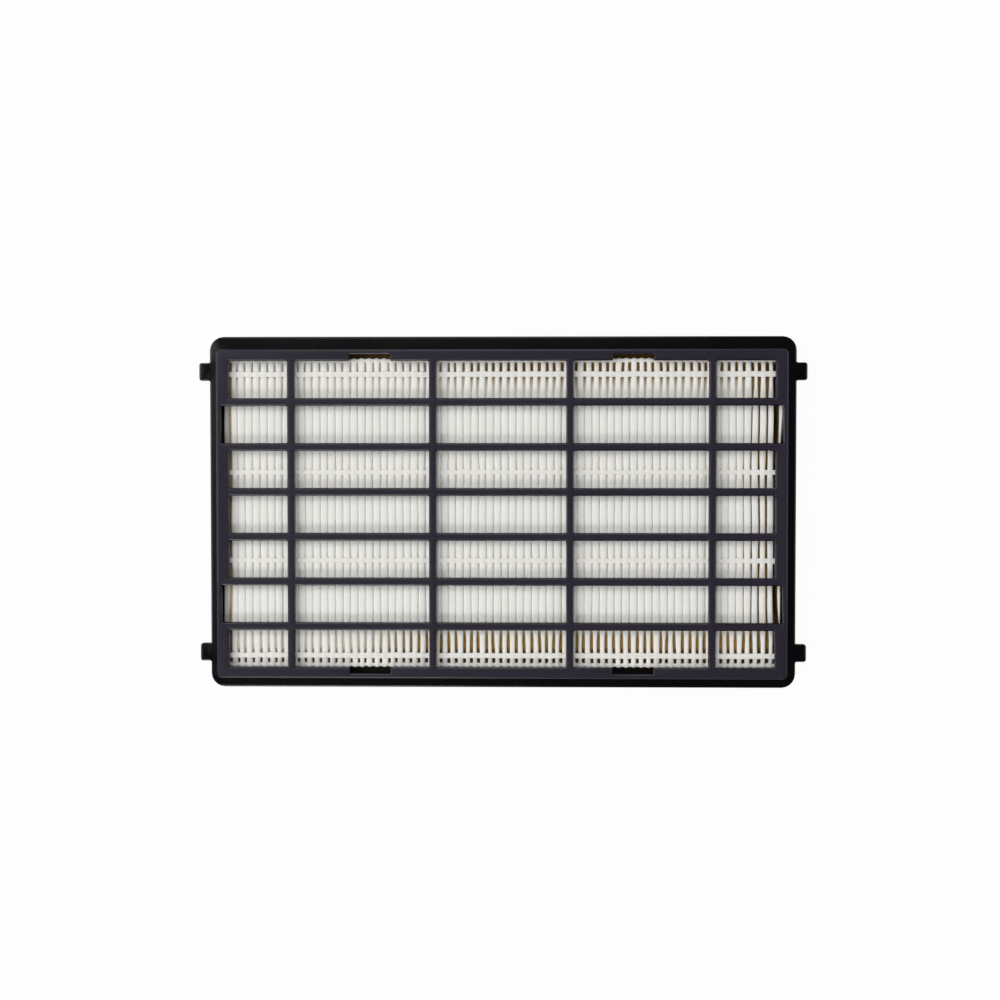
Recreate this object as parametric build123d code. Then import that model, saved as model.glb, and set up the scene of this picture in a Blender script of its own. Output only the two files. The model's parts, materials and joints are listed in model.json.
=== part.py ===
from build123d import *
import math
import os

# A framed exhaust filter: a moulded cassette with a grille front holds a pleated paper pack.
# It lies on its rear seal. X runs along the long side, Y along the pleats, Z out of the grille.
# All sizes are in millimetres, and the origin is under the middle, on the surface it lies on.

# Cassette box
box_length = 175.2
box_width = 101.0
box_height = 18.4  # rear face of the flange to the front face of the grille
box_corner_radius = 1.4
wall = 1.35
front_thickness = 2.0
front_edge_radius = 0.5

# Grille
rim_width = 3.75  # box side to the grille opening, at the short sides
long_rim_width = 3.4  # the same at the long sides
post_width = 2.2  # bars that run along the pleats
inner_post_offset = 21.05
outer_post_offset = 64.65
rail_width = 2.4  # bars that run across the pleats
row_count = 7
cell_corner = 0.5
opening_bevel = 0.3  # round the front of each opening

# Windows through the rim, which reach the inside of the wall
end_window_length = 12.5
end_window_offset = 40.4
side_window_rows = (1, 5)  # rows counted from 0

# Flange at the rear, and its four locating tabs
flange_margin = 5.05  # reach past the box
flange_thickness = 2.0
flange_corner_radius = 4.4
flange_bevel = 0.4
tab_reach = 3.4
tab_width = 5.6
tab_offset = 44.5
tab_corner_radius = 0.8

# Rear seal
gasket_thickness = 2.5
gasket_width = 4.8
gasket_edge_margin = 0.8  # flange edge to the seal

# Pleated pack
media_thickness = 0.5
pleat_pitch = 2.33
pack_depth = 13.0
crest_setback = 2.9  # front face of the grille to the tips of the folds
fold_facets = 4  # flats that stand for each rounded fold, outside
side_clearance = 0.3  # least room between the pack and the wall
end_clearance = 1.2  # room between an end band and the wall
band_thickness = 1.1

# Hot-melt strands that keep the folds apart
bead_width = 1.8
bead_height = 0.3
bead_top_margin = 4.35  # top end of the pleats to the middle of the first strand
bead_bottom_margin = 2.25
inner_bead_spacing = 26.8

# Potting that bonds the pack into the box
potting_setback = 3.4  # tips of the folds to the potting
potting_depth = 8.6

# Places that follow from the sizes above
flange_z = gasket_thickness
front_z = flange_z + box_height
grille_z = front_z - front_thickness
cavity_length = box_length - 2 * wall
cavity_width = box_width - 2 * wall
opening_length = box_length - 2 * rim_width
opening_width = box_width - 2 * long_rim_width
flange_length = box_length + 2 * flange_margin
flange_width = box_width + 2 * flange_margin
crest_z = front_z - crest_setback
root_z = crest_z - pack_depth
potting_z = crest_z - potting_setback
fold_radius = pleat_pitch / 4 + media_thickness / 2
crease_radius = fold_radius - media_thickness
pleat_count = int((cavity_length - 2 * side_clearance - 2 * fold_radius) / pleat_pitch) + 1
pack_length = (pleat_count - 1) * pleat_pitch + 2 * fold_radius
pack_width = cavity_width - 2 * end_clearance
pleat_length = pack_width - 2 * band_thickness
post_centres = (-outer_post_offset, -inner_post_offset, inner_post_offset, outer_post_offset)
row_height = (opening_width - (row_count - 1) * rail_width) / row_count
row_pitch = row_height + rail_width
top_bead = pleat_length / 2 - bead_top_margin
bottom_bead = bead_bottom_margin - pleat_length / 2
middle_bead = (top_bead + bottom_bead) / 2
bead_offsets = (
    top_bead,
    middle_bead + inner_bead_spacing / 2,
    middle_bead - inner_bead_spacing / 2,
    bottom_bead,
)


def slab(length, width, radius, low, high):
    """A plate or block with rounded corners, centred on the Z axis."""
    outline = RectangleRounded(length, width, radius) if radius else Rectangle(length, width)
    return extrude(Pos(0, 0, low) * outline, high - low)


def cell_spans():
    """The left and right edge of each column of the grille."""
    edge = opening_length / 2
    lefts = [-edge] + [x + post_width / 2 for x in post_centres]
    rights = [x - post_width / 2 for x in post_centres] + [edge]
    return list(zip(lefts, rights))


def row_centre(row):
    return (row - (row_count - 1) / 2) * row_pitch


def grille_cells():
    """Every opening of the grille, as one sketch."""
    cells = []
    for left, right in cell_spans():
        cell = Rectangle(right - left, row_height)
        cell = chamfer(cell.vertices(), cell_corner)
        middle = (left + right) / 2
        cells += [Pos(middle, row_centre(row)) * cell for row in range(row_count)]
    return Sketch() + cells


def rim_windows():
    """The eight windows, from inside the grille opening out to the wall."""
    lap = 2 * cell_corner
    windows = []
    end_reach = (cavity_width - opening_width) / 2 + lap
    end_window = Rectangle(end_window_length, end_reach)
    side_reach = (cavity_length - opening_length) / 2 + lap
    side_window = Rectangle(side_reach, row_height)
    for side in (-1, 1):
        for end in (-1, 1):
            y = end * (cavity_width - end_reach) / 2
            windows.append(Pos(side * end_window_offset, y) * end_window)
        for row in side_window_rows:
            x = side * (cavity_length - side_reach) / 2
            windows.append(Pos(x, row_centre(row)) * side_window)
    return Sketch() + windows


def tab_outline():
    """The flange's outline with its four tabs."""
    outline = RectangleRounded(flange_length, flange_width, flange_corner_radius)
    tab_length = tab_reach + flange_corner_radius
    tab = RectangleRounded(tab_length, tab_width, tab_corner_radius)
    for side in (-1, 1):
        x = side * (flange_length / 2 + tab_reach - tab_length / 2)
        for end in (-1, 1):
            outline += Pos(x, end * tab_offset) * tab
    return outline


def opening_edges(frame):
    """The front edges of the grille's openings and windows."""
    front = frame.edges().filter_by_position(Axis.Z, front_z, front_z)
    inside = front.filter_by_position(Axis.X, -cavity_length / 2, cavity_length / 2)
    return inside.filter_by_position(Axis.Y, -cavity_width / 2, cavity_width / 2)


def cassette_frame():
    """The moulding: flange, tabs, walls, rim, grille and windows in one piece."""
    box = slab(box_length, box_width, box_corner_radius, flange_z, front_z)
    box = fillet(box.faces().sort_by(Axis.Z)[-1].edges(), front_edge_radius)
    flange = extrude(Pos(0, 0, flange_z) * tab_outline(), flange_thickness)
    flange = chamfer(flange.faces().sort_by(Axis.Z)[-1].edges(), flange_bevel)
    cavity = slab(cavity_length, cavity_width, 0, flange_z, grille_z)
    openings = extrude(Pos(0, 0, grille_z) * (grille_cells() + rim_windows()), front_thickness)
    frame = box + flange - cavity - openings
    return chamfer(opening_edges(frame), opening_bevel)


def flange_gasket():
    """A closed ring of soft seal on the rear of the flange."""
    length = flange_length - 2 * gasket_edge_margin
    width = flange_width - 2 * gasket_edge_margin
    radius = flange_corner_radius - gasket_edge_margin
    ring = slab(length, width, radius, 0, gasket_thickness)
    return ring - slab(length - 2 * gasket_width, width - 2 * gasket_width, 0, 0, gasket_thickness)


def fold_points(centre_x, centre_z, radius, facets, out):
    """Points on half a circle, from left to right over its top, or under it where out is -1."""
    angles = [math.pi * (1 - i / facets) for i in range(facets + 1)]
    return [(centre_x + radius * math.cos(a), centre_z + out * radius * math.sin(a)) for a in angles]


def crest_centre(pleat):
    return (pleat - (pleat_count - 1) / 2) * pleat_pitch


def media_outline():
    """The section of the folded sheet, out along its front face and back along its rear face."""
    top = crest_z - fold_radius
    bottom = root_z + fold_radius
    crease_facets = fold_facets // 2
    front = []
    rear = []
    for pleat in range(pleat_count):
        x = crest_centre(pleat)
        front += fold_points(x, top, fold_radius, fold_facets, 1)
        rear += fold_points(x, top, crease_radius, crease_facets, 1)
        if pleat < pleat_count - 1:
            valley = x + pleat_pitch / 2
            front += fold_points(valley, bottom, crease_radius, crease_facets, -1)
            rear += fold_points(valley, bottom, fold_radius, fold_facets, -1)
    return front, rear


def pleated_media():
    """One sheet of paper, folded to and fro across the whole box."""
    front, rear = media_outline()
    end = pack_length / 2
    tail = [(end, root_z), (end - media_thickness, root_z)]
    head = [(media_thickness - end, root_z), (-end, root_z)]
    outline = front + tail + rear[::-1] + head
    section = make_face(Polyline(outline, close=True))
    return extrude(Plane.XZ * section, pleat_length / 2, both=True)


def spacer_bead(offset, tips, face_z, out):
    """A strand across the folds. It lies on their tips and dips between them.

    tips holds where the folds' tips are along X, and face_z how high they are.
    out is 1 at the front and -1 at the rear.
    """
    dip = pleat_pitch / 2 * math.tan(math.pi / fold_facets / 2)
    points = []
    for x in tips:
        points += [(x, face_z), (x + pleat_pitch / 2, face_z - out * dip)]
    points[-1] = (tips[-1], face_z + out * bead_height)
    points.append((tips[0], face_z + out * bead_height))
    section = make_face(Polyline(points, close=True))
    strand = extrude(Plane.XZ * section, bead_width / 2, both=True)
    return Pos(0, offset, 0) * strand


def end_band(end):
    """A strip that closes the ends of the pleats."""
    y = end * (pleat_length + band_thickness) / 2
    return Pos(0, y, 0) * slab(pack_length, band_thickness, 0, root_z, crest_z)


def potting_seal():
    """A ring of set hot melt between the pack and the inside of the wall."""
    low = potting_z - potting_depth
    ring = slab(cavity_length, cavity_width, 0, low, potting_z)
    return ring - slab(pack_length, pack_width, 0, low, potting_z)


nodes = {
    "cassette_frame": cassette_frame(),
    "flange_gasket": flange_gasket(),
    "pleated_media": pleated_media(),
    "end_band_top": end_band(1),
    "end_band_bottom": end_band(-1),
    "potting_seal": potting_seal(),
}
front_tips = [crest_centre(pleat) for pleat in range(pleat_count)]
rear_tips = [x + pleat_pitch / 2 for x in front_tips[:-1]]
for number, offset in enumerate(bead_offsets, 1):
    nodes[f"front_spacer_bead_{number}"] = spacer_bead(offset, front_tips, crest_z, 1)
    nodes[f"rear_spacer_bead_{number}"] = spacer_bead(offset, rear_tips, root_z, -1)

os.makedirs("parts", exist_ok=True)
for name, shape in nodes.items():
    export_step(shape, f"parts/{name}.step")
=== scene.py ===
import json
import math

import bmesh
import bpy
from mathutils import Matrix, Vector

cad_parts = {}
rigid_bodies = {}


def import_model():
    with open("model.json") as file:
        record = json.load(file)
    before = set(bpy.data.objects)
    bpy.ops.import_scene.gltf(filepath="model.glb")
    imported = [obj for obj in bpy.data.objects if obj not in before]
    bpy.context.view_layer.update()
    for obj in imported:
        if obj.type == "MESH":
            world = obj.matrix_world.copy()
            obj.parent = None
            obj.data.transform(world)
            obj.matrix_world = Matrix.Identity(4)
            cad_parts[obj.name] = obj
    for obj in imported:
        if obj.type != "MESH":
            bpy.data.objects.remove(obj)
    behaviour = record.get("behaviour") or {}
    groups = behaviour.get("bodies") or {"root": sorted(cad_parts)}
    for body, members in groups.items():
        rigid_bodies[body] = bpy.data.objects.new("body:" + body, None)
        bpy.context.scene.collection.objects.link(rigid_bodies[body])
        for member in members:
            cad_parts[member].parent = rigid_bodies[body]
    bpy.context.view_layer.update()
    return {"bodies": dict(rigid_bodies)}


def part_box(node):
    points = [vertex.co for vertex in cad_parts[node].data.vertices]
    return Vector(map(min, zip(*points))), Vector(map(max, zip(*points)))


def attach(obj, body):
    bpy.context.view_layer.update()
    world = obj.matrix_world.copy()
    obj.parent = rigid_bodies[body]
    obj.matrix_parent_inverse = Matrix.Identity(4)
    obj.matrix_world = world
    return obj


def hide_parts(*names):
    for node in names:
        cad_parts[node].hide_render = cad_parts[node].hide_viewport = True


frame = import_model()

# The dressed filter cassette: moulded frame, pleated paper, hot-melt strands, potting and rear seal.
# X runs along the long side, Y along the pleats, Z out of the grille. Everything is in metres.

MM = 0.001

frame_low, frame_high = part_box("cassette_frame")
media_low, media_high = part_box("pleated_media")
potting_low, potting_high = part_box("potting_seal")
_, gasket_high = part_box("flange_gasket")
_, band_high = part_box("end_band_top")

# Moulded frame, the same sizes as the solid
FRONT = frame_high[2]
REAR = frame_low[2]
FRONT_THICKNESS = 2.0 * MM
FLANGE_THICKNESS = 2.0 * MM
FLANGE_MARGIN = 5.05 * MM
FLANGE_CORNER = 4.4 * MM
TAB_REACH = 3.4 * MM
TAB_WIDTH = 5.6 * MM
TAB_OFFSET = 44.5 * MM
TAB_CORNER = 0.8 * MM
BOX_CORNER = 1.4 * MM
WALL = 1.35 * MM
RIM_WIDTH = 3.75 * MM
LONG_RIM_WIDTH = 3.4 * MM
POST_WIDTH = 2.2 * MM
POST_OFFSETS = (-64.65 * MM, -21.05 * MM, 21.05 * MM, 64.65 * MM)
RAIL_WIDTH = 2.4 * MM
ROWS = 7
END_WINDOW_LENGTH = 12.5 * MM
END_WINDOW_OFFSET = 40.4 * MM
SIDE_WINDOW_ROWS = (1, 5)
GASKET_WIDTH = 4.8 * MM
GASKET_CORNER = 3.6 * MM
FLANGE_X = frame_high[0] - TAB_REACH
FLANGE_Y = frame_high[1]
BOX_X = FLANGE_X - FLANGE_MARGIN
BOX_Y = FLANGE_Y - FLANGE_MARGIN
CAVITY_X = BOX_X - WALL
CAVITY_Y = BOX_Y - WALL
OPENING_X = BOX_X - RIM_WIDTH
OPENING_Y = BOX_Y - LONG_RIM_WIDTH

# Roundings of the moulded frame and the seal
EDGE_STEPS = 4  # flats across each rounded edge
CORNER_STEPS = 5  # flats round each corner of an outline
CELL_CORNER = 0.4 * MM
BAR_EDGE = 0.45 * MM
BOX_EDGE = 0.45 * MM
FLANGE_EDGE = 0.5 * MM
SEAL_EDGE = 0.5 * MM
ROOT_FILLET = 0.6 * MM  # where the wall stands on the flange
TAB_ROOT = 0.5 * MM
CAVITY_CORNER = 0.3 * MM
WINDOW_INNER_CORNER = 0.25 * MM
WINDOW_OUTER_CORNER = 0.3 * MM
WINDOW_GAP = 0.08 * MM  # between a window's edge and the inside of the wall
SMOOTH_ANGLE = math.radians(50)

# Pleated paper
PITCH = 2.33 * MM
PAPER = 0.5 * MM
CREST = media_high[2]
ROOT = media_low[2]
FOLD_RADIUS = PITCH / 4 + PAPER / 2
FOLDS = round((media_high[0] - media_low[0] - 2 * FOLD_RADIUS) / PITCH) + 1
PLEAT_END = media_high[1]
FIRST_FOLD = -(FOLDS - 1) / 2 * PITCH
FOLD_ROWS = 36
# Half of a fold's section: across as a share of its half width, and millimetres down from its tip.
SHOULDER = (
    (0.0, 0.0),
    (0.35, 0.005),
    (0.58, 0.05),
    (0.74, 0.13),
    (0.87, 0.23),
    (0.97, 0.33),
    (1.0, FOLD_RADIUS / MM),
)

# Places along X or Y where a smooth step starts and ends: first how far melt has soaked into the paper
TOP_SOAK = (36 * MM, 44 * MM)
TOP_SOAK_ALONG = (-45 * MM, 5 * MM)
BOTTOM_SOAK = (-38 * MM, -33 * MM)
BOTTOM_SOAK_ALONG = (-52 * MM, -22 * MM)
END_SOAK = (-45 * MM, -43.6 * MM)
RIGHT_SOAK = (70 * MM, 79 * MM)
LEFT_SOAK = (-84 * MM, -82.5 * MM)
# where the outermost fold on the left is painted grey brown: painted shade under the left wall, not melt
OUTER_FLAP_SHADE = (-84.6 * MM, -84.2 * MM)
# and then where the valleys stand open
TOP_OPEN = (32 * MM, 41.5 * MM)
TOP_OPEN_ALONG = (-40 * MM, 6 * MM)
BOTTOM_OPEN = (-38.5 * MM, -32.5 * MM)
BOTTOM_OPEN_ALONG = (-50 * MM, -5 * MM)
RIGHT_OPEN = (72 * MM, 81 * MM)
LAST_VALLEY = (83.7 * MM, 84.1 * MM)
FIRST_VALLEY = (-83.5 * MM, -82.2 * MM)
BY_STRAND = (0.5 * MM, 5.5 * MM)

# Melt on the floor of the valleys
FLOOR_ROWS = 24
FLOOR_HALF = 0.1 * MM  # half the width of a bar before it is fitted to its valley
FLOOR_LAP = 0.1 * MM  # into the paper on either side
FLOOR_THICKNESS = 1.6 * MM
FLOOR_RISE = (2.5 * MM, 7.0 * MM)  # from the end of a valley, where its floor rises
FLOOR_DROP = (71 * MM, 80 * MM)  # along X, where the floors lie deeper

# How far each strand was laid off its nominal place, how wide it spread, and how deep it sank
STRAND_SHIFTS = (0.55 * MM, 0.55 * MM, 0.1 * MM, 0.8 * MM)
STRAND_WIDTHS = (1.85 * MM, 1.75 * MM, 1.75 * MM, 1.85 * MM)
STRAND_SINKS = (0.08 * MM, 0.24 * MM, 0.24 * MM, 0.08 * MM)
REAR_SINK = 0.08 * MM


def strand_place(number):
    low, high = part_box(f"front_spacer_bead_{number}")
    return (low[1] + high[1]) / 2 + STRAND_SHIFTS[number - 1]


STRAND_PLACES = [strand_place(number) for number in (1, 2, 3, 4)]


def linear(code):
    """A colour written as an sRGB hex value, in the linear values that a shader takes."""
    values = [int(code[i : i + 2], 16) / 255 for i in (1, 3, 5)]
    return tuple(v / 12.92 if v <= 0.04045 else ((v + 0.055) / 1.055) ** 2.4 for v in values) + (1,)


# Node helpers, for materials and for geometry


def node(tree, kind, inputs=None, **settings):
    """Adds a node with its settings. An input is a value, or the output that it is linked to."""
    new = tree.nodes.new(kind)
    for name, value in settings.items():
        setattr(new, name, value)
    for name, value in (inputs or {}).items():
        if isinstance(value, bpy.types.NodeSocket):
            tree.links.new(value, new.inputs[name])
        else:
            new.inputs[name].default_value = value
    return new


def maths(tree, operation, *values, **settings):
    """The result of a maths node on numbers or outputs."""
    inputs = dict(enumerate(values))
    return node(tree, "ShaderNodeMath", inputs, operation=operation, **settings).outputs[0]


def rising(tree, value, zone, start, end):
    """A smooth step from start to end, over the zone that a value runs through."""
    step = {"Value": value, "From Min": zone[0], "From Max": zone[1], "To Min": start, "To Max": end}
    return node(tree, "ShaderNodeMapRange", step, interpolation_type="SMOOTHSTEP").outputs[0]


def combined(tree, x, y=0.0, z=0.0):
    return node(tree, "ShaderNodeCombineXYZ", {"X": x, "Y": y, "Z": z}).outputs[0]


def separated(tree, vector):
    return node(tree, "ShaderNodeSeparateXYZ", {0: vector}).outputs


def noise(tree, vector, scale, detail, **more):
    """Cloudy noise from 0 to 1."""
    inputs = {"Vector": vector, "Scale": scale, "Detail": detail, **more}
    return node(tree, "ShaderNodeTexNoise", inputs).outputs[0]


def both_ways(tree, cloud):
    """Noise spread to run from -1 to 1."""
    spread = {"Value": cloud, "From Min": 0.3, "From Max": 0.7, "To Min": -1.0, "To Max": 1.0}
    return node(tree, "ShaderNodeMapRange", spread).outputs[0]


# Materials


def blank_material(name):
    material = bpy.data.materials.new(name)
    material.use_nodes = True
    tree = material.node_tree
    tree.nodes.clear()
    shader = node(tree, "ShaderNodeBsdfPrincipled")
    node(tree, "ShaderNodeOutputMaterial", {"Surface": shader.outputs[0]})
    place = node(tree, "ShaderNodeTexCoord").outputs["Object"]
    return material, tree, shader, place


def set_constants(shader, values):
    for name, value in values.items():
        shader.inputs[name].default_value = value


def mixed(tree, share, first, second):
    """The first colour, or the second one where share is 1."""
    return node(tree, "ShaderNodeMix", {"Factor": share, 6: first, 7: second}, data_type="RGBA").outputs[2]


def product(tree, first, second):
    """Two values multiplied, kept within 0 and 1."""
    return maths(tree, "MULTIPLY", first, second, use_clamp=True)


def bumped(tree, shader, height, strength, distance):
    """Small bumps on the surface, from a height between 0 and 1."""
    inputs = {"Height": height, "Strength": strength, "Distance": distance}
    bump = node(tree, "ShaderNodeBump", inputs)
    tree.links.new(bump.outputs[0], shader.inputs["Normal"])


def soaked_share(tree, x, y):
    """How strongly the potting has soaked in: at both ends, less on their left, and on the right."""
    top = product(tree, rising(tree, y, TOP_SOAK, 0.0, 1.0), rising(tree, x, TOP_SOAK_ALONG, 0.25, 1.0))
    bottom = rising(tree, x, BOTTOM_SOAK_ALONG, 0.3, 1.0)
    bottom = product(tree, rising(tree, y, BOTTOM_SOAK, 1.0, 0.0), bottom)
    shares = [top, bottom, rising(tree, y, END_SOAK, 0.9, 0.0)]
    shares += [rising(tree, x, RIGHT_SOAK, 0.0, 1.0), rising(tree, x, LEFT_SOAK, 0.8, 0.0)]
    most = shares[0]
    for share in shares[1:]:
        most = maths(tree, "MAXIMUM", most, share)
    return most


def moulded_abs():
    """Charcoal ABS with a faint violet cast: a fine grain from mould erosion on the grille, polished below.
    Below the front its colour is near black: partly the polished finish, partly painted shade on the walls
    and the recessed flange.
    """
    material, tree, shader, place = blank_material("moulded_charcoal_abs")
    grain = noise(tree, place, 2600.0, 3.0)
    flow = noise(tree, place, 38.0, 4.0)
    height = separated(tree, place)[2]
    eroded_front_over_painted_shade = rising(tree, height, (REAR + 5 * MM, FRONT - 0.4 * MM), 0.0, 1.0)
    tint = mixed(tree, flow, linear("#130d1d"), linear("#1b1329"))
    # Near black below the front: painted shade on the walls and the recessed flange, together with the
    # darker polished finish.
    tint = mixed(tree, eroded_front_over_painted_shade, linear("#07070a"), tint)
    tree.links.new(tint, shader.inputs["Base Color"])
    gloss = rising(tree, height, (FRONT - 0.03 * MM, FRONT - 0.006 * MM), 0.14, 0.47)
    uneven = maths(tree, "MULTIPLY_ADD", flow, 0.06, gloss)
    tree.links.new(uneven, shader.inputs["Roughness"])
    bumped(tree, shader, grain, 0.12, 0.04 * MM)
    set_constants(shader, {"IOR": 1.5, "Specular IOR Level": 0.38})
    return material


def filter_paper():
    """Off-white microfibre filter paper: matt and soft, with fine fibres.

    Hot melt has soaked into it near the ends of the folds and on the right, olive brown in the valleys. The
    outermost fold on the left is painted grey brown as shade under the wall.
    """
    material, tree, shader, place = blank_material("microfibre_filter_paper")
    stretch = node(tree, "ShaderNodeMapping", {"Vector": place, "Scale": (1.0, 0.35, 1.0)})
    fibre = noise(tree, stretch.outputs[0], 2200.0, 5.0, Roughness=0.7)
    clean = mixed(tree, noise(tree, place, 120.0, 3.0), linear("#f1f0ec"), linear("#eae9e3"))
    x, y, z = separated(tree, place)
    deep = rising(tree, z, (CREST - 1.5 * MM, CREST - 0.4 * MM), 1.0, 0.0)
    front = rising(tree, z, (ROOT + 2.5 * MM, ROOT + 5 * MM), 0.0, 1.0)
    stain = product(tree, soaked_share(tree, x, y), product(tree, deep, front))
    tint = mixed(tree, stain, clean, linear("#8a7132"))
    # Painted shade: the outermost fold on the left, under the wall, is greyed brown.
    tint = mixed(tree, rising(tree, x, OUTER_FLAP_SHADE, 0.55, 0.0), tint, linear("#6f6452"))
    tree.links.new(tint, shader.inputs["Base Color"])
    bumped(tree, shader, fibre, 0.25, 0.06 * MM)
    set_constants(shader, {"Roughness": 0.9, "Specular IOR Level": 0.25})
    return material


def soaked_paper():
    """The floor of a valley: paper, with a clear olive brown film of melt where it has soaked in."""
    material, tree, shader, place = blank_material("amber_melt_on_paper")
    x, y, _ = separated(tree, place)
    film = mixed(tree, noise(tree, place, 260.0, 2.0), linear("#9a7426"), linear("#6a4a12"))
    tint = mixed(tree, soaked_share(tree, x, y), linear("#eae8dd"), film)
    tree.links.new(tint, shader.inputs["Base Color"])
    set_constants(shader, {"Roughness": 0.45, "IOR": 1.48})
    return material


def white_melt():
    """White hot melt drawn out as a thread: smooth and slightly waxy."""
    material, tree, shader, place = blank_material("white_hot_melt")
    cloud = noise(tree, place, 300.0, 2.0)
    tree.links.new(mixed(tree, cloud, linear("#f0efea"), linear("#e6e4de")), shader.inputs["Base Color"])
    bumped(tree, shader, cloud, 0.3, 0.15 * MM)
    set_constants(shader, {"Roughness": 0.42, "IOR": 1.48})
    return material


def bonded_fleece():
    """White polyester fleece strip, bonded to the ends of the pleats: matt and slightly hairy."""
    material, tree, shader, place = blank_material("bonded_polyester_fleece")
    fibre = noise(tree, place, 1500.0, 5.0)
    tree.links.new(mixed(tree, fibre, linear("#f0eeea"), linear("#dcd9d2")), shader.inputs["Base Color"])
    bumped(tree, shader, fibre, 0.4, 0.1 * MM)
    set_constants(shader, {"Roughness": 0.85})
    return material


def amber_melt():
    """Amber hot melt, poured and set: glossy and honey brown, with painted shade that turns it near black
    towards the bottom end, where it lies deep under the wall.
    """
    material, tree, shader, place = blank_material("amber_hot_melt")
    cloud = noise(tree, place, 160.0, 3.0)
    tint = mixed(tree, cloud, linear("#9c7a24"), linear("#5a4413"))
    # Painted shade: near black towards the bottom end, where the potting lies deep in shadow.
    light = rising(tree, separated(tree, place)[1], (-20 * MM, 20 * MM), 0.0, 1.0)
    tree.links.new(mixed(tree, light, linear("#171107"), tint), shader.inputs["Base Color"])
    bumped(tree, shader, cloud, 0.4, 0.3 * MM)
    set_constants(shader, {"Roughness": 0.3, "IOR": 1.5})
    return material


def cellular_rubber():
    """Black closed-cell foam rubber, cut from sheet: matt, with small open pores on the cut skin."""
    material, tree, shader, place = blank_material("closed_cell_foam_rubber")
    pores = node(tree, "ShaderNodeTexVoronoi", {"Vector": place, "Scale": 2400.0}).outputs["Distance"]
    tree.links.new(mixed(tree, pores, linear("#0e0e0f"), linear("#242325")), shader.inputs["Base Color"])
    bumped(tree, shader, pores, 0.6, 0.12 * MM)
    set_constants(shader, {"Roughness": 0.88})
    return material


# Outlines and lofts for the moulded pieces


def rounded_outline(corners, grow=0.0):
    """Points round a shape whose corners are (x, y, radius), against the clock, grown outwards."""
    points = []
    least = 0.01 * MM
    for i, (x, y, radius) in enumerate(corners):
        bx, by, _ = corners[i - 1]
        ax, ay, _ = corners[(i + 1) % len(corners)]
        back = math.atan2(y - by, x - bx)
        ahead = math.atan2(ay - y, ax - x)
        turn = (ahead - back + math.pi) % (2 * math.pi) - math.pi
        side = 1 if turn > 0 else -1
        start = back - side * math.pi / 2
        # The arc's middle lies to the left of a left turn, and to the right of a right turn.
        centre_x = x - radius * math.cos(back) - radius * math.cos(start)
        centre_y = y - radius * math.sin(back) - radius * math.sin(start)
        reach = radius + side * grow
        if reach < least:
            # An inner corner that has grown shut is where its two sides cross.
            past = reach - least
            centre_x += past * (math.cos(start) + math.cos(start + turn))
            centre_y += past * (math.sin(start) + math.sin(start + turn))
            reach = least
        for step in range(CORNER_STEPS + 1):
            angle = start + turn * step / CORNER_STEPS
            points.append((centre_x + reach * math.cos(angle), centre_y + reach * math.sin(angle)))
    return points


def rectangle(x, y, radius, low_x=None, low_y=None):
    low_x = -x if low_x is None else low_x
    low_y = -y if low_y is None else low_y
    return [(x, low_y, radius), (x, y, radius), (low_x, y, radius), (low_x, low_y, radius)]


def loop_at(mesh, corners, grow, height):
    return [mesh.verts.new((x, y, height)) for x, y in rounded_outline(corners, grow)]


def loft(mesh, loops):
    """Joins each loop of points to the next with quads."""
    for a, b in zip(loops, loops[1:]):
        for i in range(len(a)):
            j = (i + 1) % len(a)
            mesh.faces.new((a[i], a[j], b[j], b[i]))


def quarter_turn():
    """The sine and cosine at each step of a rounded edge."""
    angles = [math.pi / 2 * step / EDGE_STEPS for step in range(EDGE_STEPS + 1)]
    return [(math.sin(angle), math.cos(angle)) for angle in angles]


def rounded_edge(mesh, corners, top, radius, side):
    """Loops that turn over an edge, from the flat face at the top down to the wall.

    side is 1 where the wall is the outside of a body, and -1 where it is a hole in one.
    """
    loops = []
    for sine, cosine in quarter_turn():
        loops.append(loop_at(mesh, corners, -side * radius * (1 - sine), top - radius * (1 - cosine)))
    return loops


def fill_flat(mesh, loops):
    """Fills the flat region inside the first loop and outside the others."""
    edges = []
    for loop in loops:
        for i in range(len(loop)):
            pair = (loop[i - 1], loop[i])
            edges.append(mesh.edges.get(pair) or mesh.edges.new(pair))
    bmesh.ops.triangle_fill(mesh, edges=edges, use_beauty=True, use_dissolve=False)


def linked(name, data):
    thing = bpy.data.objects.new(name, data)
    bpy.context.collection.objects.link(thing)
    return thing


def object_of(name, mesh):
    """An object made from a mesh that was being edited."""
    data = bpy.data.meshes.new(name)
    mesh.to_mesh(data)
    mesh.free()
    return linked(name, data)


def smooth_shaded(piece):
    piece.data.shade_smooth()
    piece.data.set_sharp_from_angle(angle=SMOOTH_ANGLE)
    return piece


def finish_mesh(name, mesh, material):
    bmesh.ops.recalc_face_normals(mesh, faces=mesh.faces)
    piece = object_of(name, mesh)
    piece.data.materials.append(material)
    return smooth_shaded(piece)


# The moulded frame


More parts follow.
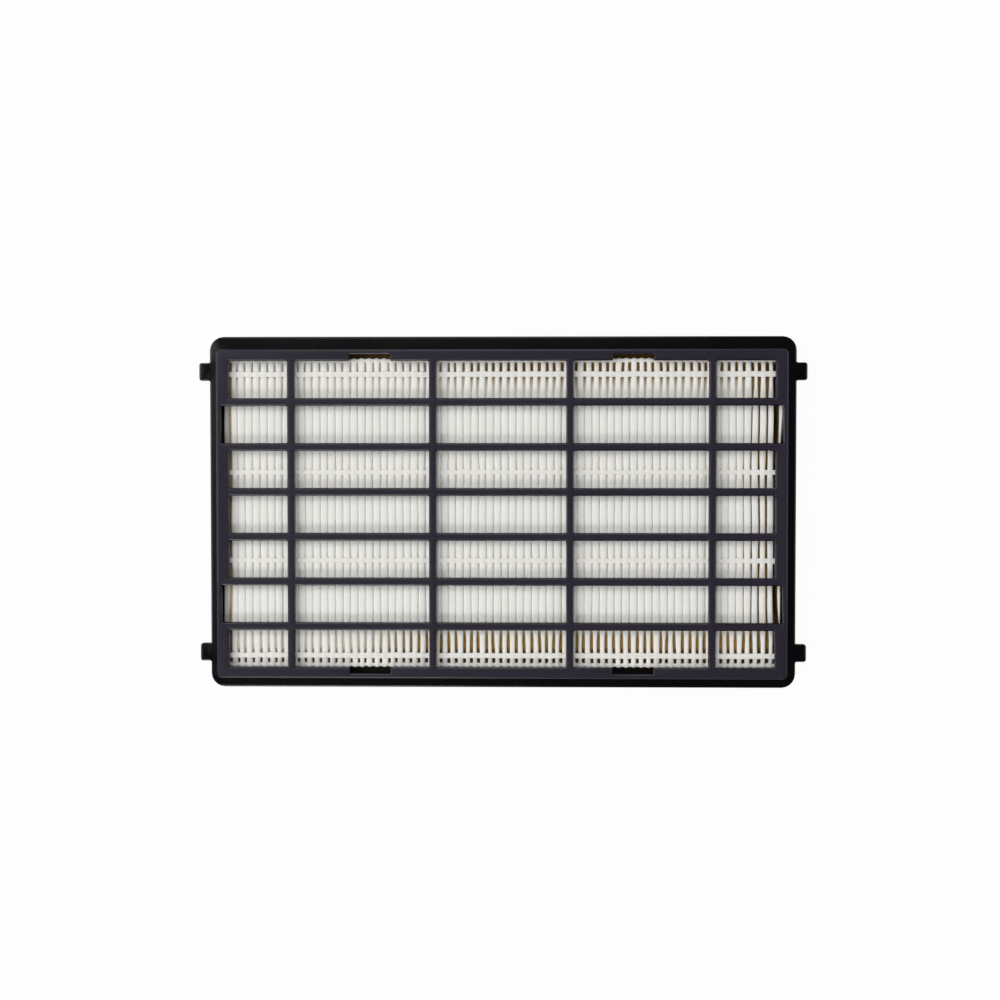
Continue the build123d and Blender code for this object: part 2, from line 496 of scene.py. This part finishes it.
def grille_openings():
    """The outline of each opening of the grille, with the windows that join it."""
    row_height = (2 * OPENING_Y - (ROWS - 1) * RAIL_WIDTH) / ROWS
    lefts = [-OPENING_X] + [x + POST_WIDTH / 2 for x in POST_OFFSETS]
    rights = [x - POST_WIDTH / 2 for x in POST_OFFSETS] + [OPENING_X]
    openings = []
    for row in range(ROWS):
        low = (row - ROWS / 2) * (row_height + RAIL_WIDTH) + RAIL_WIDTH / 2
        high = low + row_height
        for column, (left, right) in enumerate(zip(lefts, rights)):
            if row in SIDE_WINDOW_ROWS and column == 0:
                left = WINDOW_GAP - CAVITY_X
            if row in SIDE_WINDOW_ROWS and column == len(lefts) - 1:
                right = CAVITY_X - WINDOW_GAP
            outline = rectangle(right, high, CELL_CORNER, left, low)
            if row in (0, ROWS - 1) and column in (1, 3):
                centre = END_WINDOW_OFFSET if column == 3 else -END_WINDOW_OFFSET
                outline = windowed(outline, centre, CAVITY_Y - WINDOW_GAP, row == ROWS - 1)
            openings.append(outline)
    return openings


def windowed(outline, centre, reach, at_top):
    """An opening's outline with a window let into its top or bottom side."""
    (right, low, radius), _, (left, high, _), _ = outline
    near = centre - END_WINDOW_LENGTH / 2
    far = centre + END_WINDOW_LENGTH / 2
    inner = WINDOW_INNER_CORNER
    outer = WINDOW_OUTER_CORNER
    if at_top:
        notch = [(far, high, inner), (far, reach, outer), (near, reach, outer), (near, high, inner)]
        sides = [(right, low, radius), (right, high, radius), *notch]
        return [*sides, (left, high, radius), (left, low, radius)]
    notch = [(near, low, inner), (near, -reach, outer), (far, -reach, outer), (far, low, inner)]
    return [(right, low, radius), (right, high, radius), (left, high, radius), (left, low, radius), *notch]


def flange_corners():
    """The flange's outline, with the four tabs on its short sides."""
    x = FLANGE_X
    tab = FLANGE_X + TAB_REACH
    low = TAB_OFFSET - TAB_WIDTH / 2
    high = TAB_OFFSET + TAB_WIDTH / 2
    right = [(x, -FLANGE_Y, FLANGE_CORNER)]
    for start, end in ((-high, -low), (low, high)):
        right += [(x, start, TAB_ROOT), (tab, start, TAB_CORNER), (tab, end, TAB_CORNER), (x, end, TAB_ROOT)]
    right.append((x, FLANGE_Y, FLANGE_CORNER))
    left = [(-a, -b, r) for a, b, r in right]
    return right + left


def moulded_frame(material):
    mesh = bmesh.new()
    plate = FRONT - FRONT_THICKNESS
    flange_top = REAR + FLANGE_THICKNESS
    box = rectangle(BOX_X, BOX_Y, BOX_CORNER)
    cavity = rectangle(CAVITY_X, CAVITY_Y, CAVITY_CORNER)
    fronts = []
    backs = []
    for corners in grille_openings():
        loops = rounded_edge(mesh, corners, FRONT, BAR_EDGE, -1)
        loops.append(loop_at(mesh, corners, 0, plate))
        loft(mesh, loops)
        fronts.append(loops[0])
        backs.append(loops[-1])
    outside = rounded_edge(mesh, box, FRONT, BOX_EDGE, 1)
    for sine, cosine in quarter_turn():
        height = flange_top + ROOT_FILLET * (1 - sine)
        outside.append(loop_at(mesh, box, ROOT_FILLET * (1 - cosine), height))
    loft(mesh, outside)
    fill_flat(mesh, [outside[0], *fronts])
    flange = flange_corners()
    edge = rounded_edge(mesh, flange, flange_top, FLANGE_EDGE, 1)
    edge.append(loop_at(mesh, flange, 0, REAR))
    loft(mesh, edge)
    fill_flat(mesh, [edge[0], outside[-1]])
    inside = [loop_at(mesh, cavity, 0, REAR), loop_at(mesh, cavity, 0, plate)]
    loft(mesh, inside)
    fill_flat(mesh, [edge[-1], inside[0]])
    fill_flat(mesh, [inside[-1], *backs])
    return finish_mesh("frame_moulding", mesh, material)


def foam_seal(material):
    mesh = bmesh.new()
    reach_x, reach_y, height = gasket_high
    outer = rectangle(reach_x, reach_y, GASKET_CORNER)
    inner = rectangle(reach_x - GASKET_WIDTH, reach_y - GASKET_WIDTH, 0.4 * MM)
    outside = [loop_at(mesh, outer, 0, height)]
    hole = [loop_at(mesh, inner, 0, height)]
    for sine, cosine in quarter_turn():
        shrink = SEAL_EDGE * (1 - cosine)
        low = SEAL_EDGE * (1 - sine)
        outside.append(loop_at(mesh, outer, -shrink, low))
        hole.append(loop_at(mesh, inner, shrink, low))
    loft(mesh, outside)
    loft(mesh, hole)
    fill_flat(mesh, [outside[0], hole[0]])
    fill_flat(mesh, [outside[-1], hole[-1]])
    return finish_mesh("foam_seal", mesh, material)


# Geometry trees


def new_tree(name, sockets):
    """A geometry tree with a geometry input, the named inputs, and a geometry output."""
    tree = bpy.data.node_groups.new(name, "GeometryNodeTree")
    tree.interface.new_socket("Geometry", in_out="INPUT", socket_type="NodeSocketGeometry")
    for label, kind in sockets.items():
        tree.interface.new_socket(label, in_out="INPUT", socket_type=f"NodeSocket{kind}")
    tree.interface.new_socket("Geometry", in_out="OUTPUT", socket_type="NodeSocketGeometry")
    return tree, node(tree, "NodeGroupInput").outputs


def grow_piece(name, tree, values):
    """Runs a geometry tree, and returns the result as a plain piece."""
    source = linked(name + "_source", bpy.data.meshes.new(name + "_base"))
    modifier = source.modifiers.new(name, "NODES")
    modifier.node_group = tree
    for item in tree.interface.items_tree:
        if item.item_type == "SOCKET" and item.in_out == "INPUT" and item.name in values:
            modifier[item.identifier] = values[item.name]
    source.update_tag()
    bpy.context.view_layer.update()
    graph = bpy.context.evaluated_depsgraph_get()
    data = bpy.data.meshes.new_from_object(source.evaluated_get(graph))
    source.modifiers.clear()
    bpy.data.objects.remove(source)
    return linked(name, data)


def repeated_along_x(tree, given, count, start):
    """The unit repeated at the pitch of the folds, made real and joined where its copies meet."""
    first = combined(tree, start)
    step = combined(tree, given["Pitch"])
    places = {"Count": count, "Start Location": first, "Offset": step}
    line = node(tree, "GeometryNodeMeshLine", places).outputs[0]
    unit = node(tree, "GeometryNodeObjectInfo", {"Object": given["Unit"]}).outputs["Geometry"]
    row = node(tree, "GeometryNodeInstanceOnPoints", {"Points": line, "Instance": unit}).outputs[0]
    real = node(tree, "GeometryNodeRealizeInstances", {"Geometry": row}).outputs[0]
    welded = {"Geometry": real, "Distance": 0.01 * MM}
    return node(tree, "GeometryNodeMergeByDistance", welded).outputs[0]


def placed_and_finished(tree, given, geometry, x, y, z):
    places = {"Geometry": geometry, "Position": combined(tree, x, y, z)}
    moved = node(tree, "GeometryNodeSetPosition", places).outputs[0]
    real = node(tree, "GeometryNodeRealizeInstances", {"Geometry": moved}).outputs[0]
    coat = {"Geometry": real, "Material": given["Finish"]}
    painted = node(tree, "GeometryNodeSetMaterial", coat).outputs[0]
    node(tree, "NodeGroupOutput", {"Geometry": painted})


def place_of_points(tree):
    return separated(tree, node(tree, "GeometryNodeInputPosition").outputs[0])


# The folded paper


def fold_unit():
    """One fold of the sheet, from the middle of one rear fold to the next, open at both sides."""
    crease = FOLD_RADIUS - PAPER
    outer = [(FOLD_RADIUS * across, down * MM) for across, down in SHOULDER]
    turns = (0, math.pi / 4, math.pi / 2)
    inner = [(crease * math.sin(a), PAPER + crease * (1 - math.cos(a))) for a in turns]

    def section(valley, crest):
        left = [(-PITCH / 2 + across, ROOT + down) for across, down in valley]
        tip = [(-across, CREST - down) for across, down in crest[:0:-1]]
        tip += [(across, CREST - down) for across, down in crest]
        right = [(PITCH / 2 - across, ROOT + down) for across, down in valley[::-1]]
        return left + tip + right

    mesh = bmesh.new()
    grids = []
    for points in (section(inner, outer), section(outer, inner)):
        grid = []
        for row in range(FOLD_ROWS + 1):
            y = -PLEAT_END + 2 * PLEAT_END * row / FOLD_ROWS
            grid.append([mesh.verts.new((x, y, z)) for x, z in points])
        grids.append(grid)
    front, rear = grids
    for row in range(FOLD_ROWS):
        for i in range(len(front[0]) - 1):
            mesh.faces.new((front[row][i], front[row][i + 1], front[row + 1][i + 1], front[row + 1][i]))
            mesh.faces.new((rear[row + 1][i], rear[row + 1][i + 1], rear[row][i + 1], rear[row][i]))
    mesh.faces.new(rear[0] + front[0][::-1])
    mesh.faces.new(front[-1] + rear[-1][::-1])
    return object_of("fold_unit", mesh)


class FoldRules:
    """Nodes that say where the valley lines run and how wide the valleys are, in any tree."""

    def __init__(self, tree, given, x, y, at_front):
        self.tree = tree
        self.given = given
        self.x = x
        self.y = y
        self.at_front = at_front
        self.seed = self.maths("MULTIPLY_ADD", at_front, 40.0, given["Seed"])

    def maths(self, operation, *values):
        return maths(self.tree, operation, *values)

    def rising(self, value, zone, start, end):
        return rising(self.tree, value, zone, start, end)

    def wave(self, number, along, shift):
        """Noise from -1 to 1 on a fold's or a valley's number and the place along it."""
        across = self.maths("MULTIPLY_ADD", number, 0.83, shift)
        down = self.maths("MULTIPLY", self.y, along)
        spot = combined(self.tree, across, down, self.seed)
        return both_ways(self.tree, noise(self.tree, spot, 1.0, 1.0))

    def openness(self):
        """How wide the valleys stand open at the front: at both ends, by the strands, and on the right."""
        top = self.rising(self.x, TOP_OPEN_ALONG, 0.45 * MM, 0.85 * MM)
        top = self.maths("MULTIPLY", self.rising(self.y, TOP_OPEN, 0.0, 1.0), top)
        bottom = self.rising(self.x, BOTTOM_OPEN_ALONG, 0.68 * MM, 0.9 * MM)
        bottom = self.maths("MULTIPLY", self.rising(self.y, BOTTOM_OPEN, 1.0, 0.0), bottom)
        first = self.rising(self.x, FIRST_VALLEY, 0.85 * MM, 0.0)
        ends = self.maths("MAXIMUM", self.maths("MAXIMUM", top, bottom), first)
        for place in STRAND_PLACES[1:3]:
            away = self.maths("ABSOLUTE", self.maths("SUBTRACT", self.y, place))
            ends = self.maths("MAXIMUM", ends, self.rising(away, BY_STRAND, 0.42 * MM, 0.0))
        right = self.rising(self.x, RIGHT_OPEN, 0.0, 0.55 * MM)
        wide = self.maths("MAXIMUM", ends, right)
        both = self.maths("MULTIPLY", self.maths("MINIMUM", ends, right), 0.4)
        last = self.rising(self.x, LAST_VALLEY, 0.0, 0.95 * MM)
        return self.maths("ADD", self.maths("ADD", wide, both), last)

    def gap(self, fold):
        at_rear = self.maths("SUBTRACT", 1.0, self.at_front)
        rear_gap = self.maths("MULTIPLY", at_rear, 0.3 * MM)
        wide = self.maths("MULTIPLY_ADD", self.openness(), self.at_front, rear_gap)
        uneven = self.maths("ADD", self.wave(fold, 60.0, 71.3), 1.0)
        loose = self.maths("MULTIPLY", uneven, self.given["Loose"])
        return self.maths("ADD", self.maths("ADD", wide, loose), 0.015 * MM)

    def line(self, number, half_gap):
        """Where a valley's line runs. Neighbours share it, so they waver together and never touch."""
        straight = self.maths("MULTIPLY_ADD", number, self.given["Pitch"], self.given["Start"])
        waver = self.maths("MULTIPLY_ADD", self.openness(), 0.25, self.given["Waver"])
        bent = self.maths("MULTIPLY_ADD", self.wave(number, 38.0, 3.1), waver, straight)
        low = self.maths("SUBTRACT", self.given["Low Reach"], half_gap)
        high = self.maths("ADD", self.given["High Reach"], half_gap)
        return self.maths("MINIMUM", self.maths("MAXIMUM", bent, low), high)


FOLD_VALUES = {
    "Pitch": PITCH,
    "Start": FIRST_FOLD,
    "Waver": 0.11 * MM,
    "Loose": 0.02 * MM,
    "Low Reach": -86.1 * MM,
    "High Reach": 86.12 * MM,
    "Seed": 4.0,
}
FOLD_SOCKETS = {
    "Folds": "Int",
    **{name: "Float" for name in FOLD_VALUES},
    "Unit": "Object",
    "Finish": "Material",
}


def folded_paper_tree():
    """Folds in a row. Each lies between two wavering lines, one in the valley on either side."""
    extra = {name: "Float" for name in ("Middle", "Half Width", "Sink", "Last Shift")}
    tree, given = new_tree("folded_paper", {**FOLD_SOCKETS, **extra})
    joined = repeated_along_x(tree, given, given["Folds"], given["Start"])
    x, y, z = place_of_points(tree)
    at_front = maths(tree, "GREATER_THAN", z, given["Middle"])
    rules = FoldRules(tree, given, x, y, at_front)

    # A front fold has a whole number, and a rear fold has a half.
    half = rules.maths("MULTIPLY_ADD", at_front, -0.5, 0.5)
    turns = rules.maths("DIVIDE", rules.maths("SUBTRACT", x, given["Start"]), given["Pitch"])
    fold = rules.maths("ADD", rules.maths("ROUND", rules.maths("SUBTRACT", turns, half)), half)
    tip_x = rules.maths("MULTIPLY_ADD", fold, given["Pitch"], given["Start"])
    share = rules.maths("DIVIDE", rules.maths("SUBTRACT", x, tip_x), given["Half Width"])
    half_gap = rules.maths("MULTIPLY", rules.gap(fold), 0.5)
    low_line = rules.line(rules.maths("SUBTRACT", fold, 0.5), half_gap)
    high_line = rules.line(rules.maths("ADD", fold, 0.5), half_gap)
    middle = rules.maths("MULTIPLY", rules.maths("ADD", low_line, high_line), 0.5)
    room = rules.maths("MULTIPLY", rules.maths("SUBTRACT", high_line, low_line), 0.5)
    new_x = rules.maths("MULTIPLY_ADD", share, rules.maths("SUBTRACT", room, half_gap), middle)
    new_x = rules.maths("ADD", new_x, rules.rising(x, LAST_VALLEY, 0.0, given["Last Shift"]))
    sink = rules.maths("MULTIPLY", rules.maths("ADD", rules.wave(fold, 30.0, 29.7), 1.0), given["Sink"])
    inwards = rules.maths("MULTIPLY_ADD", at_front, -2.0, 1.0)
    new_z = rules.maths("MULTIPLY_ADD", sink, inwards, z)
    placed_and_finished(tree, given, joined, new_x, y, new_z)
    return tree


def folded_paper(material):
    unit = fold_unit()
    values = {
        **FOLD_VALUES,
        "Folds": FOLDS,
        "Middle": (CREST + ROOT) / 2,
        "Half Width": FOLD_RADIUS,
        "Sink": 0.05 * MM,
        "Last Shift": 0.6 * MM,
        "Unit": unit,
        "Finish": material,
    }
    piece = grow_piece("folded_paper", folded_paper_tree(), values)
    bpy.data.objects.remove(unit)
    mesh = bmesh.new()
    mesh.from_mesh(piece.data)
    bmesh.ops.holes_fill(mesh, edges=[e for e in mesh.edges if e.is_boundary], sides=0)
    bmesh.ops.triangulate(mesh, faces=[f for f in mesh.faces if len(f.verts) > 4])
    mesh.to_mesh(piece.data)
    mesh.free()
    return smooth_shaded(piece)


# Melt that has run along the floors of the valleys


def floor_unit():
    """A bar along Y, closed at 0, the end of a valley, and open at 1, its middle."""
    section = [(-1.0, 0.0), (-0.5, -0.12), (0.5, -0.12), (1.0, 0.0), (1.0, -1.0), (-1.0, -1.0)]
    mesh = bmesh.new()
    loops = []
    for row in range(FLOOR_ROWS + 1):
        share = row / FLOOR_ROWS
        loops.append([mesh.verts.new((x * FLOOR_HALF, share, z)) for x, z in section])
    loft(mesh, loops)
    mesh.faces.new(loops[0])
    return object_of("floor_unit", mesh)


def valley_floor_tree():
    """The floor of each valley, which follows its line. It lies deepest at the end band."""
    extra = {name: "Float" for name in ("End", "Crest", "Depth")}
    tree, given = new_tree("valley_floors", {**FOLD_SOCKETS, **extra})
    rules = FoldRules(tree, given, None, None, 1.0)
    start = rules.maths("MULTIPLY_ADD", given["Pitch"], 0.5, given["Start"])
    bars = repeated_along_x(tree, given, rules.maths("SUBTRACT", given["Folds"], 2.0), start)
    x, share, z = place_of_points(tree)
    turns = rules.maths("DIVIDE", rules.maths("SUBTRACT", x, start), given["Pitch"])
    valley = rules.maths("ADD", rules.maths("ROUND", turns), 0.5)
    line_x = rules.maths("MULTIPLY_ADD", valley, given["Pitch"], given["Start"])
    across = rules.maths("DIVIDE", rules.maths("SUBTRACT", x, line_x), FLOOR_HALF)

    # The rows lie closer together at the end of a valley than in its middle.
    inwards = rules.maths("MULTIPLY", rules.maths("POWER", share, 1.3), PLEAT_END)
    rules.x = line_x
    rules.y = rules.maths("MULTIPLY", rules.maths("SUBTRACT", PLEAT_END, inwards), given["End"])
    half_gap = rules.maths("MULTIPLY", rules.gap(valley), 0.5)
    half_width = rules.maths("ADD", half_gap, FLOOR_LAP)
    new_x = rules.maths("MULTIPLY_ADD", across, half_width, rules.line(valley, half_gap))
    fall = rules.rising(inwards, FLOOR_RISE, given["Depth"], 0.7 * MM)
    fall = rules.maths("ADD", fall, rules.rising(line_x, FLOOR_DROP, 0.0, 0.7 * MM))
    fall = rules.maths("MULTIPLY_ADD", rules.wave(valley, 150.0, 47.1), 0.1 * MM, fall)
    level = rules.maths("SUBTRACT", given["Crest"], fall)
    new_z = rules.maths("ADD", level, rules.maths("MULTIPLY", z, FLOOR_THICKNESS))
    placed_and_finished(tree, given, bars, new_x, rules.y, new_z)
    return tree


def valley_floors(material):
    unit = floor_unit()
    tree = valley_floor_tree()
    halves = []
    for name, end, depth in (("top", 1.0, 1.2 * MM), ("bottom", -1.0, 1.7 * MM)):
        values = {
            **FOLD_VALUES,
            "Folds": FOLDS,
            "Unit": unit,
            "Finish": material,
            "End": end,
            "Crest": CREST,
            "Depth": depth,
        }
        halves.append(grow_piece(f"floors_{name}", tree, values))
    bpy.data.objects.remove(unit)
    mesh = bmesh.new()
    for half in halves:
        mesh.from_mesh(half.data)
        bpy.data.objects.remove(half)
    # The two halves of each valley meet in its middle.
    bmesh.ops.remove_doubles(mesh, verts=mesh.verts, dist=0.001 * MM)
    return finish_mesh("melt_between_folds", mesh, material)


# Strands, end bands and potting


STRAND_VALUES = {
    "Length": (FOLDS - 1) * PITCH + 2 * FOLD_RADIUS - 0.6 * MM,
    "Edge": 0.28 * MM,
    "Pitch": PITCH,
    "Start": FIRST_FOLD,
    "Height": 0.6 * MM,
    "Scallop": 0.1 * MM,
    "Wander": 0.12 * MM,
}


def strand_tree():
    """A ribbon along X with rounded edges, which dips and swells with the folds it crosses."""
    floats = (*STRAND_VALUES, "Place", "Middle", "Width", "Dip", "Seed")
    sockets = {**{name: "Float" for name in floats}, "Points": "Int", "Finish": "Material"}
    tree, given = new_tree("melt_strand", sockets)
    half = maths(tree, "MULTIPLY", given["Length"], 0.5)
    ends = {"Start": combined(tree, maths(tree, "MULTIPLY", half, -1.0)), "End": combined(tree, half)}
    line = node(tree, "GeometryNodeCurvePrimitiveLine", ends).outputs[0]
    points = {"Curve": line, "Count": given["Points"]}
    fine = node(tree, "GeometryNodeResampleCurve", points).outputs[0]
    sides = {"Width": given["Width"], "Height": given["Height"]}
    section = node(tree, "GeometryNodeCurvePrimitiveQuadrilateral", sides).outputs[0]
    corners = {"Curve": section, "Count": 3, "Radius": given["Edge"]}
    soft = node(tree, "GeometryNodeFilletCurve", corners, mode="POLY").outputs[0]
    body_of = {"Curve": fine, "Profile Curve": soft, "Fill Caps": True}
    tube = node(tree, "GeometryNodeCurveToMesh", body_of).outputs[0]

    x, y, z = place_of_points(tree)
    side = maths(tree, "SIGN", y)
    turns = maths(tree, "DIVIDE", maths(tree, "SUBTRACT", x, given["Start"]), given["Pitch"])
    swell = maths(tree, "COSINE", maths(tree, "MULTIPLY", turns, 2 * math.pi))
    dip = maths(tree, "MULTIPLY", maths(tree, "SUBTRACT", swell, 1.0), given["Dip"])
    wide = maths(tree, "MULTIPLY", maths(tree, "MULTIPLY", swell, given["Scallop"]), side)
    spot = combined(tree, turns, maths(tree, "MULTIPLY", side, 7.0), given["Seed"])
    drift = maths(tree, "MULTIPLY", both_ways(tree, noise(tree, spot, 0.8, 2.0)), given["Wander"])
    new_y = maths(tree, "ADD", maths(tree, "ADD", y, given["Place"]), wide)
    new_y = maths(tree, "ADD", new_y, drift)
    new_z = maths(tree, "MULTIPLY_ADD", dip, 0.5, maths(tree, "ADD", z, given["Middle"]))
    placed_and_finished(tree, given, tube, x, new_y, new_z)
    return tree


def strand(name, tree, material, **values):
    """A strand or an end band. Its values are named as the tree's inputs are."""
    named = {key.capitalize(): value for key, value in values.items()}
    values = {**STRAND_VALUES, "Points": FOLDS * 6 + 1, "Finish": material, **named}
    return smooth_shaded(grow_piece(name, tree, values))


def potting(material):
    mesh = bmesh.new()
    outer = rectangle(potting_high[0], potting_high[1], CAVITY_CORNER)
    inner = rectangle(media_high[0], band_high[1], 0.2 * MM)
    low, high = potting_low[2], potting_high[2]
    ring = ((outer, low), (outer, high), (inner, high), (inner, low))
    loops = [loop_at(mesh, corners, 0, height) for corners, height in ring]
    loft(mesh, loops + [loops[0]])
    return finish_mesh("amber_potting", mesh, material)


# Materials first, then the pieces
abs_plastic = moulded_abs()
paper = filter_paper()
melt = white_melt()
fleece = bonded_fleece()
amber = amber_melt()
rubber = cellular_rubber()

body = list(frame["bodies"])[0]


def declare(piece, slot, *nodes):
    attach(piece, body)
    if nodes:
        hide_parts(*nodes)


declare(moulded_frame(abs_plastic), "frame_plastic", "cassette_frame")
declare(foam_seal(rubber), "gasket_foam", "flange_gasket")
declare(folded_paper(paper), "filter_paper", "pleated_media")
declare(potting(amber), "potting_melt", "potting_seal")
declare(valley_floors(soaked_paper()), "potting_melt")

ribbon = strand_tree()
for number, place in enumerate(STRAND_PLACES, 1):
    laid = {"place": place, "width": STRAND_WIDTHS[number - 1]}
    middle = CREST - STRAND_SINKS[number - 1]
    laid_front = {**laid, "middle": middle, "dip": 0.1 * MM, "seed": number * 3.7}
    front = strand(f"front_strand_{number}", ribbon, melt, **laid_front)
    declare(front, "spacer_melt", f"front_spacer_bead_{number}")
    laid_rear = {**laid, "middle": ROOT + REAR_SINK, "dip": -0.1 * MM, "seed": number * 5.3}
    rear = strand(f"rear_strand_{number}", ribbon, melt, start=FIRST_FOLD + PITCH / 2, **laid_rear)
    declare(rear, "spacer_melt", f"rear_spacer_bead_{number}")

# The strip at the bottom laps further over the ends of the folds than the one at the top.
for name, shift, seed in (("top", -0.15 * MM, 12.0), ("bottom", 0.7 * MM, 10.0)):
    low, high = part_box(f"end_band_{name}")
    band = strand(
        f"end_fleece_{name}",
        ribbon,
        fleece,
        place=(low[1] + high[1]) / 2 + shift,
        middle=(low[2] + high[2]) / 2,
        width=high[1] - low[1] + 0.2 * MM,
        height=high[2] - low[2] - 0.2 * MM,
        dip=0.15 * MM,
        scallop=0.17 * MM,
        wander=0.06 * MM,
        seed=seed,
    )
    declare(band, "band_fleece", f"end_band_{name}")


# Floor, light and camera

FLOOR_SIZE = 3.0
FLOOR_WHITE = 0.96  # share of the floor that camera rays see as plain white
MIRRORED_WHITE = 0.3  # the same for rays mirrored by the object
CENTRE = (0, 0, 0.01)


def cleared(holder):
    holder.use_nodes = True
    holder.node_tree.nodes.clear()
    return holder.node_tree


def studio():
    corners = [(-1, -1), (1, -1), (1, 1), (-1, 1)]
    data = bpy.data.meshes.new("floor")
    data.from_pydata([(x * FLOOR_SIZE, y * FLOOR_SIZE, 0) for x, y in corners], [], [(0, 1, 2, 3)])
    floor = linked("floor", data)
    material = bpy.data.materials.new("white_card")
    tree = cleared(material)
    matt = node(tree, "ShaderNodeBsdfDiffuse", {"Color": (0.85, 0.85, 0.85, 1)})
    glow = node(tree, "ShaderNodeEmission", {"Color": (1, 1, 1, 1), "Strength": 1.0})
    rays = node(tree, "ShaderNodeLightPath").outputs
    mirrored = maths(tree, "MAXIMUM", rays["Is Glossy Ray"], rays["Is Transmission Ray"])
    share = maths(tree, "MULTIPLY", mirrored, MIRRORED_WHITE)
    share = maths(tree, "MULTIPLY_ADD", rays["Is Camera Ray"], FLOOR_WHITE, share)
    mix = node(tree, "ShaderNodeMixShader", {0: share, 1: matt.outputs[0], 2: glow.outputs[0]})
    node(tree, "ShaderNodeOutputMaterial", {"Surface": mix.outputs[0]})
    data.materials.append(material)

    world = bpy.data.worlds.new("studio_world")
    bpy.context.scene.world = world
    tree = cleared(world)
    seen = node(tree, "ShaderNodeLightPath").outputs["Is Camera Ray"]
    soft = node(tree, "ShaderNodeBackground", {"Color": (1, 1, 1, 1), "Strength": 0.05})
    white = node(tree, "ShaderNodeBackground", {"Color": (1, 1, 1, 1), "Strength": 1.0})
    mix = node(tree, "ShaderNodeMixShader", {0: seen, 1: soft.outputs[0], 2: white.outputs[0]})
    node(tree, "ShaderNodeOutputWorld", {"Surface": mix.outputs[0]})

    lamp("west_softbox", (-0.9, 0.2, 0.9), CENTRE, 0.8, 0.8, 8.2)
    lamp("north_softbox", (-0.1, 0.75, 1.05), CENTRE, 0.5, 0.5, 4.0)
    lamp("south_fill", (-0.25, -0.88, 0.95), CENTRE, 0.4, 0.4, 5.9)
    lamp("east_fill", (0.95, 0.1, 0.9), CENTRE, 0.6, 0.6, 2.9)
    # A small weak card that only the flange at the left mirrors
    lamp("west_card", (-0.38, -0.14, 1.5), (-0.09, -0.01, 0.0), 0.4, 0.14, 0.12)


def lamp(name, place, aim, width, height, power):
    """A rectangular lamp that points at a place. Its power is in watts."""
    light = bpy.data.lights.new(name, "AREA")
    light.shape = "RECTANGLE"
    light.size = width
    light.size_y = height
    light.energy = power
    holder = linked(name, light)
    holder.location = place
    x, y, z = [a - b for a, b in zip(aim, place)]
    holder.rotation_euler = (math.atan2(math.hypot(x, y), -z), 0, math.atan2(y, x) - math.pi / 2)


def camera():
    """The camera as solved from the photo."""
    lens = bpy.data.cameras.new("camera")
    lens.sensor_width = 36.0
    lens.lens = 59.97
    holder = linked("camera", lens)
    holder.location = (0.01071, 0.02064, 0.53095)
    holder.rotation_euler = [math.radians(a) for a in (-1.817, 1.242, -0.01)]
    bpy.context.scene.camera = holder


studio()
camera()
bpy.context.scene.view_settings.view_transform = "Standard"
